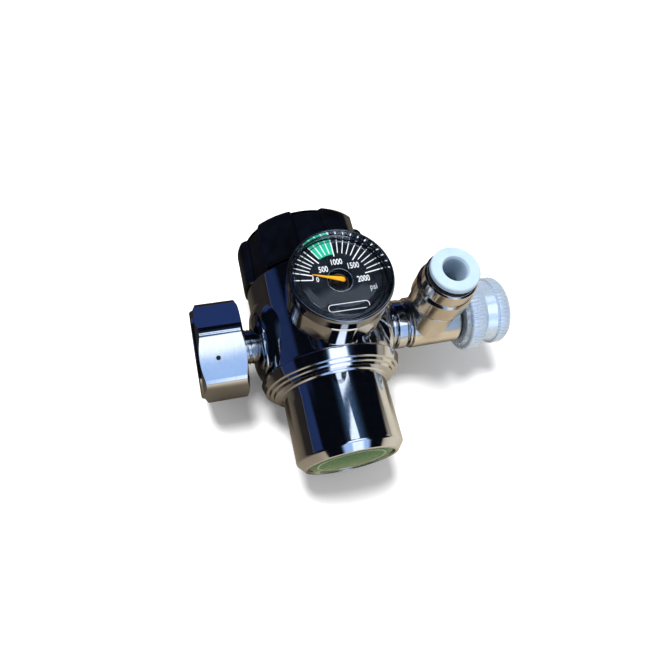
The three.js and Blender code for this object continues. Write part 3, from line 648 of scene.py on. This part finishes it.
# rounded frame of the lower label
BOX_W, BOX_H, BOX_R, BOX_C = 9.6, 1.75, 0.8, Vector((0.45, -7.0))
outline = []
for cx, cy, start in ((1, 1, 0), (-1, 1, 90), (-1, -1, 180), (1, -1, 270)):
    centre = BOX_C + Vector((cx * (BOX_W / 2 - BOX_R), cy * (BOX_H / 2 - BOX_R)))
    for k in range(9):
        outline.append(centre + polar(BOX_R, math.radians(start + k * 11.25)))
for k in range(len(outline)):
    bar(marks, outline[k], outline[(k + 1) % len(outline)], 0.13)
dial_print = to_object("dial_marks", marks, smooth=0)


def numeral(text, x, y, height, squeeze):
    curve = bpy.data.curves.new("numeral", "FONT")
    curve.body, curve.size = text, height / 0.7 * MM
    curve.align_x, curve.align_y = "CENTER", "CENTER"
    curve.extrude = PRINT_H / 2 * MM
    curve.offset = 0.012 * MM
    curve.resolution_u = 3
    holder = bpy.data.objects.new("numeral", curve)
    scene.collection.objects.link(holder)
    bpy.context.view_layer.update()
    me = bpy.data.meshes.new_from_object(holder.evaluated_get(bpy.context.evaluated_depsgraph_get()))
    bpy.data.objects.remove(holder)
    me.transform(Matrix.Translation(GAUGE + Vector((x, y, DIAL_Z + PRINT_H / 2)) * MM)
                 @ Matrix.Diagonal((squeeze, 1, 1, 1)))
    return me


def wording(name, mat, *words):
    """One printed piece of several texts: text, x, y, height, width factor."""
    bm = bmesh.new()
    for word, x, y, size, squeeze in words:
        me = numeral(word, x, y, size, squeeze)
        bm.from_mesh(me)
        bpy.data.meshes.remove(me)
    me = bpy.data.meshes.new(name)
    bm.to_mesh(me)
    bm.free()
    ob = bpy.data.objects.new(name, me)
    scene.collection.objects.link(ob)
    piece(ob, "regulator", "dial_black", mat)


wording("dial_numerals", PRINT, ("0", -5.15, 0.75, 1.3, 0.72), ("500", -3.3, 3.2, 1.55, 0.70),
        ("1000", 0.15, 4.75, 1.55, 0.68), ("1500", 3.9, 3.3, 1.55, 0.68), ("2000", 5.55, -0.5, 1.55, 0.68))
wording("dial_unit", FAINT, ("psi", 7.35, -2.9, 1.45, 0.8))
piece(dial_print, "regulator", "dial_black", PRINT)

BAND_FROM, BAND_SPAN, BAND_STEPS = 600, 400, 24
BAND_R0, BAND_R1 = 6.95, 11.1
band_bm = bmesh.new()
for k in range(BAND_STEPS):
    a0, a1 = (mark_angle(BAND_FROM + BAND_SPAN * (k + d) / BAND_STEPS) for d in (0, 1))
    flat_strip(band_bm, [polar(BAND_R0, a1), polar(BAND_R0, a0), polar(BAND_R1, a0), polar(BAND_R1, a1)],
               DIAL_Z, DIAL_Z + 0.012)
green_band = to_object("dial_band", band_bm, smooth=0)
piece(green_band, "regulator", "dial_black", BAND)

# bent pointer: rises at the arbor and tapers to its tip on the zero mark
pointer_bm = bmesh.new()
BLADE = [(-6.5, 0.10, 0.0), (-5.0, 0.2, 0.0), (-3.0, 0.34, 0.0), (-1.2, 0.5, 0.05), (0.2, 0.62, 0.1),
    (0.75, 0.66, 0.05), (1.05, 0.5, -0.1), (1.2, 0.35, -0.3)]
turn_rest = Matrix.Rotation(mark_angle(0) - math.pi, 3, "Z")
sections = []
for x, w, lift in BLADE:
    z = DIAL_Z + 0.5 + lift
    loop_pts = [(-w, 0), (-w * 0.6, 0.16), (0, 0.2), (w * 0.6, 0.16), (w, 0), (w * 0.6, -0.05),
        (-w * 0.6, -0.05)]
    ring_pts = [turn_rest @ Vector((x, y, 0)) + Vector((0, 0, z + dz)) for y, dz in loop_pts]
    sections.append([pointer_bm.verts.new(GAUGE + v * MM) for v in ring_pts])
for a, b in zip(sections, sections[1:]):
    for k in range(len(a)):
        n = (k + 1) % len(a)
        pointer_bm.faces.new((a[k], a[n], b[n], b[k]))
pointer_bm.faces.new(sections[0])
pointer_bm.faces.new(sections[-1][::-1])
needle = to_object("pointer_blade", pointer_bm, 40)
piece(needle, "pointer", "pointer_orange", NEEDLE, "gauge_pointer")

# Bourdon coil seen through the dial's hole
coil_curve = bpy.data.curves.new("coil_wire", "CURVE")
coil_curve.dimensions = "3D"
coil_curve.bevel_depth = COIL_WIRE * MM
coil_curve.bevel_resolution = 4
coil_curve.use_fill_caps = True
spline = coil_curve.splines.new("POLY")
COIL_TURNS, COIL_STEPS = 4.5, 36
count = int(COIL_TURNS * COIL_STEPS)
spline.points.add(count)
for k in range(count + 1):
    p = GAUGE + at("Z", COIL_R, 2 * math.pi * k / COIL_STEPS, COIL_Z0 + COIL_RISE * k / count) * MM
    spline.points[k].co = (*p, 1)
coil_holder = bpy.data.objects.new("coil_holder", coil_curve)
scene.collection.objects.link(coil_holder)
bpy.context.view_layer.update()
coil_me = bpy.data.meshes.new_from_object(coil_holder.evaluated_get(bpy.context.evaluated_depsgraph_get()))
bpy.data.objects.remove(coil_holder)
coil = bpy.data.objects.new("coil_wire", coil_me)
scene.collection.objects.link(coil)
piece(coil, "regulator", "bronze", BRONZE, "bourdon_coil")

# ---- finish of the CAD nodes that stay ----------------------------------------------------------
KEPT = {
    "bonnet_o_ring": RUBBER, "adjusting_spindle": STEEL, "knob_screw": STEEL, "spring_seat": BRASS,
    "main_spring": STEEL, "piston": BRASS, "piston_o_ring": RUBBER, "push_pin": STEEL, "valve_seat": NYLON,
    "poppet": BRASS, "poppet_spring": STEEL, "poppet_plug": BRASS, "inlet_washer": NYLON,
    "inlet_filter": BRONZE, "valve_seal_ring": RUBBER, "gland_o_ring": RUBBER, "valve_needle": STEEL,
    "valve_knob_plug": STEEL, "gauge_seal": NYLON, "pointer_arbor": BRASS, "coil_base": BRASS,
    "tube_o_ring": RUBBER, "grab_ring": BRIGHT,
}
for node, mat in KEPT.items():
    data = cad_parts[node].data
    data.materials.clear()
    data.materials.append(mat)


# ---- floor, light and camera ---------------------------------------------------------------------
TABLE_PAINTED_SHADE = ((0.0, (0.012, 0.010, 0.009)), (0.4, (0.11, 0.088, 0.062)), (0.62, (0.27, 0.225, 0.165)),
             (1.0, (0.42, 0.37, 0.29)))       # painted shade in the far left corner, fading out towards the near right one


def floor():
    bm = bmesh.new()
    bmesh.ops.create_grid(bm, x_segments=2, y_segments=2, size=1.5)
    ob = to_object("floor", bm, smooth=0)
    ob.location.z = -0.0002
    mat = bpy.data.materials.new("floor_pale")
    mat.use_nodes = True
    nt = mat.node_tree
    bsdf = nt.nodes["Principled BSDF"]
    bsdf.inputs["Base Color"].default_value = (0.9, 0.9, 0.9, 1)
    bsdf.inputs["Roughness"].default_value = 0.9
    bsdf.inputs["Specular IOR Level"].default_value = 0.0
    # what polished metal mirrors is a warmer, darker table top, with painted shade towards its far left
    table = nt.nodes.new("ShaderNodeBsdfDiffuse")
    coord = nt.nodes.new("ShaderNodeTexCoord")
    split = nt.nodes.new("ShaderNodeSeparateXYZ")
    nt.links.new(coord.outputs["Object"], split.inputs["Vector"])
    slant = nt.nodes.new("ShaderNodeMath")
    slant.operation = "MULTIPLY_ADD"
    slant.inputs[1].default_value = -0.8
    nt.links.new(split.outputs["Y"], slant.inputs[0])
    nt.links.new(split.outputs["X"], slant.inputs[2])
    side = spread(nt, slant.outputs["Value"], 0.0, 1.0, -0.08, 0.08)
    nt.links.new(colours(nt, side, *TABLE_PAINTED_SHADE), table.inputs["Color"])
    path = nt.nodes.new("ShaderNodeLightPath")
    mix = nt.nodes.new("ShaderNodeMixShader")
    nt.links.new(path.outputs["Is Glossy Ray"], mix.inputs["Fac"])
    nt.links.new(bsdf.outputs["BSDF"], mix.inputs[1])
    nt.links.new(table.outputs["BSDF"], mix.inputs[2])
    nt.links.new(mix.outputs["Shader"], nt.nodes["Material Output"].inputs["Surface"])
    ob.data.materials.append(mat)


floor()


class Sky:
    """Soft studio surroundings: a dim room with bright windows, by direction."""

    def __init__(self):
        self.world = bpy.data.worlds.new("studio")
        scene.world = self.world
        self.world.use_nodes = True
        self.nt = self.world.node_tree
        self.nt.nodes.clear()
        coord = self.nt.nodes.new("ShaderNodeTexCoord")
        split = self.nt.nodes.new("ShaderNodeSeparateXYZ")
        self.nt.links.new(coord.outputs["Generated"], split.inputs["Vector"])
        self.x, self.y, self.z = split.outputs
        self.colour = None

    def step(self, value, lo, hi):
        node = self.nt.nodes.new("ShaderNodeMapRange")
        node.interpolation_type = "SMOOTHSTEP"
        node.inputs["From Min"].default_value = min(lo, hi)
        node.inputs["From Max"].default_value = max(lo, hi)
        node.inputs["To Min"].default_value = 0.0 if lo < hi else 1.0
        node.inputs["To Max"].default_value = 1.0 if lo < hi else 0.0
        self.nt.links.new(value, node.inputs["Value"])
        return node.outputs["Result"]

    def math(self, how, a, b):
        node = self.nt.nodes.new("ShaderNodeMath")
        node.operation = how
        for k, v in enumerate((a, b)):
            if isinstance(v, (int, float)):
                node.inputs[k].default_value = v
            else:
                self.nt.links.new(v, node.inputs[k])
        return node.outputs["Value"]

    def paint(self, colour, *factors):
        fac = factors[0]
        for f in factors[1:]:
            fac = self.math("MULTIPLY", fac, f)
        mix = self.nt.nodes.new("ShaderNodeMix")
        mix.data_type = "RGBA"
        self.nt.links.new(fac, mix.inputs["Factor"])
        if self.colour is None:
            mix.inputs["A"].default_value = (0.0018, 0.0025, 0.0055, 1)
        else:
            self.nt.links.new(self.colour, mix.inputs["A"])
        mix.inputs["B"].default_value = (*colour, 1)
        self.colour = [s for s in mix.outputs if s.type == "RGBA"][0]

    def finish(self, ambient):
        nt = self.nt
        mirror = nt.nodes.new("ShaderNodeBackground")
        nt.links.new(self.colour, mirror.inputs["Color"])
        plain = nt.nodes.new("ShaderNodeBackground")
        plain.inputs["Color"].default_value = (*ambient, 1)
        path = nt.nodes.new("ShaderNodeLightPath")
        mix = nt.nodes.new("ShaderNodeMixShader")
        out = nt.nodes.new("ShaderNodeOutputWorld")
        nt.links.new(path.outputs["Is Glossy Ray"], mix.inputs["Fac"])
        nt.links.new(plain.outputs["Background"], mix.inputs[1])
        nt.links.new(mirror.outputs["Background"], mix.inputs[2])
        nt.links.new(mix.outputs["Shader"], out.inputs["Surface"])


sky = Sky()
S = sky.step
WINDOW = (1.1, 1.25, 1.5)
# deep blue on the left, and low behind
sky.paint((0.017, 0.034, 0.11), S(sky.x, -0.88, -0.92), S(sky.y, -0.45, -0.1))
sky.paint((0.014, 0.028, 0.09), S(sky.x, -0.76, -0.84), S(sky.y, 0.26, 0.38), S(sky.z, 0.75, 0.5))
sky.paint((0.020, 0.040, 0.14), S(sky.y, 0.80, 0.90), S(sky.z, 0.35, 0.25))
# blue glow overhead between the windows
dx = sky.math("SUBTRACT", sky.x, 0.13)
wide = sky.math("MULTIPLY", dx, dx)
deep = sky.math("MULTIPLY", sky.math("MULTIPLY", sky.y, sky.y), 0.35)
dist = sky.math("SQRT", sky.math("ADD", wide, deep), 0.0)
sky.paint((0.06, 0.13, 0.26), S(dist, 0.46, 0.0), S(sky.z, 0.3, 0.6))
# large window towards the bonnet's end, narrowing to a point near the zenith
side = sky.math("ABSOLUTE", dx, 0.0)
lower = sky.math("ADD", side, sky.math("MULTIPLY", sky.math("MAXIMUM", sky.y, -0.28), 1.15))
sky.paint((0.42, 0.62, 1.0), S(lower, 0.06, -0.05), S(sky.y, -0.03, -0.10))
sky.paint((1.3, 1.4, 1.5), S(lower, 0.0, -0.05), S(sky.y, -0.04, -0.10), S(sky.z, 0.791, 0.795))
sky.paint(WINDOW, S(sky.y, -0.5, -0.7), S(sky.x, 0.0, 0.06), S(sky.x, 0.36, 0.26), S(sky.z, 0.55, 0.4))
# skylight: a slanted kite, widest a little behind the zenith, and a second pane beyond its point
past = sky.math("SUBTRACT", sky.y, 0.2)
lean = sky.math("ADD", sky.math("MULTIPLY", sky.math("MAXIMUM", past, 0.0), 1.9),
                sky.math("MULTIPLY", sky.math("MINIMUM", past, 0.0), -0.6))
off_kite = sky.math("ABSOLUTE", sky.math("SUBTRACT", sky.math("SUBTRACT", sky.x, 0.07), lean), 0.0)
kite = sky.math("MINIMUM", sky.math("MULTIPLY", sky.math("SUBTRACT", 0.262, sky.y), 3.0),
                sky.math("SUBTRACT", sky.y, 0.03))
sky.paint(WINDOW, S(sky.math("SUBTRACT", off_kite, kite), 0.0, -0.03))
beyond = sky.math("SUBTRACT", sky.y, 0.270)
axis_x = sky.math("MINIMUM", sky.math("MULTIPLY", beyond, 6.0), 0.2)
off_pane = sky.math("ABSOLUTE", sky.math("SUBTRACT", sky.math("ADD", sky.x, 0.03), axis_x), 0.0)
pane = sky.math("SUBTRACT", off_pane, sky.math("MINIMUM", sky.math("MULTIPLY", beyond, 6.5), 0.23))
sky.paint(WINDOW, S(pane, 0.0, -0.03), S(sky.y, 0.42, 0.38))
# pale wall far on the right, and brown below the horizon
sky.paint((0.40, 0.36, 0.29), S(sky.x, 0.955, 0.985))
sky.paint((0.16, 0.13, 0.095), S(sky.z, 0.02, -0.03))
sky.finish((0.66, 0.66, 0.665))


def lamp(name, spot_at, aim, size, watts):
    data = bpy.data.lights.new(name, "AREA")
    data.shape, data.size, data.energy = "DISK", size, watts
    ob = bpy.data.objects.new(name, data)
    scene.collection.objects.link(ob)
    spot_at, aim = Vector(spot_at), Vector(aim)
    turn = (aim - spot_at).to_track_quat("-Z", "Y").to_matrix().to_4x4()
    ob.matrix_world = Matrix.Translation(spot_at) @ turn
    ob.visible_glossy = False          # the sky's windows are what metal mirrors


lamp("key_light", (-0.13, 0.18, 0.80), (0, 0, 0.01), 0.24, 9.5)

# a camera that looks straight down is tilted up, leaned sideways and turned, in degrees
SENSOR, FOCAL = 36.0, 31.846
TILT, LEAN, TURN = 25.696, -7.840, -13.017
EYE = Vector((-43.25, -58.83, 164.48))
camera = bpy.data.cameras.new("camera")
camera.sensor_width, camera.lens = SENSOR, FOCAL
camera.clip_start, camera.clip_end = 0.005, 10
eye = bpy.data.objects.new("camera", camera)
scene.collection.objects.link(eye)
aim = Euler([math.radians(v) for v in (TILT, LEAN, TURN)])
eye.matrix_world = Matrix.Translation(EYE * MM) @ aim.to_matrix().to_4x4()
scene.camera = eye
scene.view_settings.view_transform = "Standard"
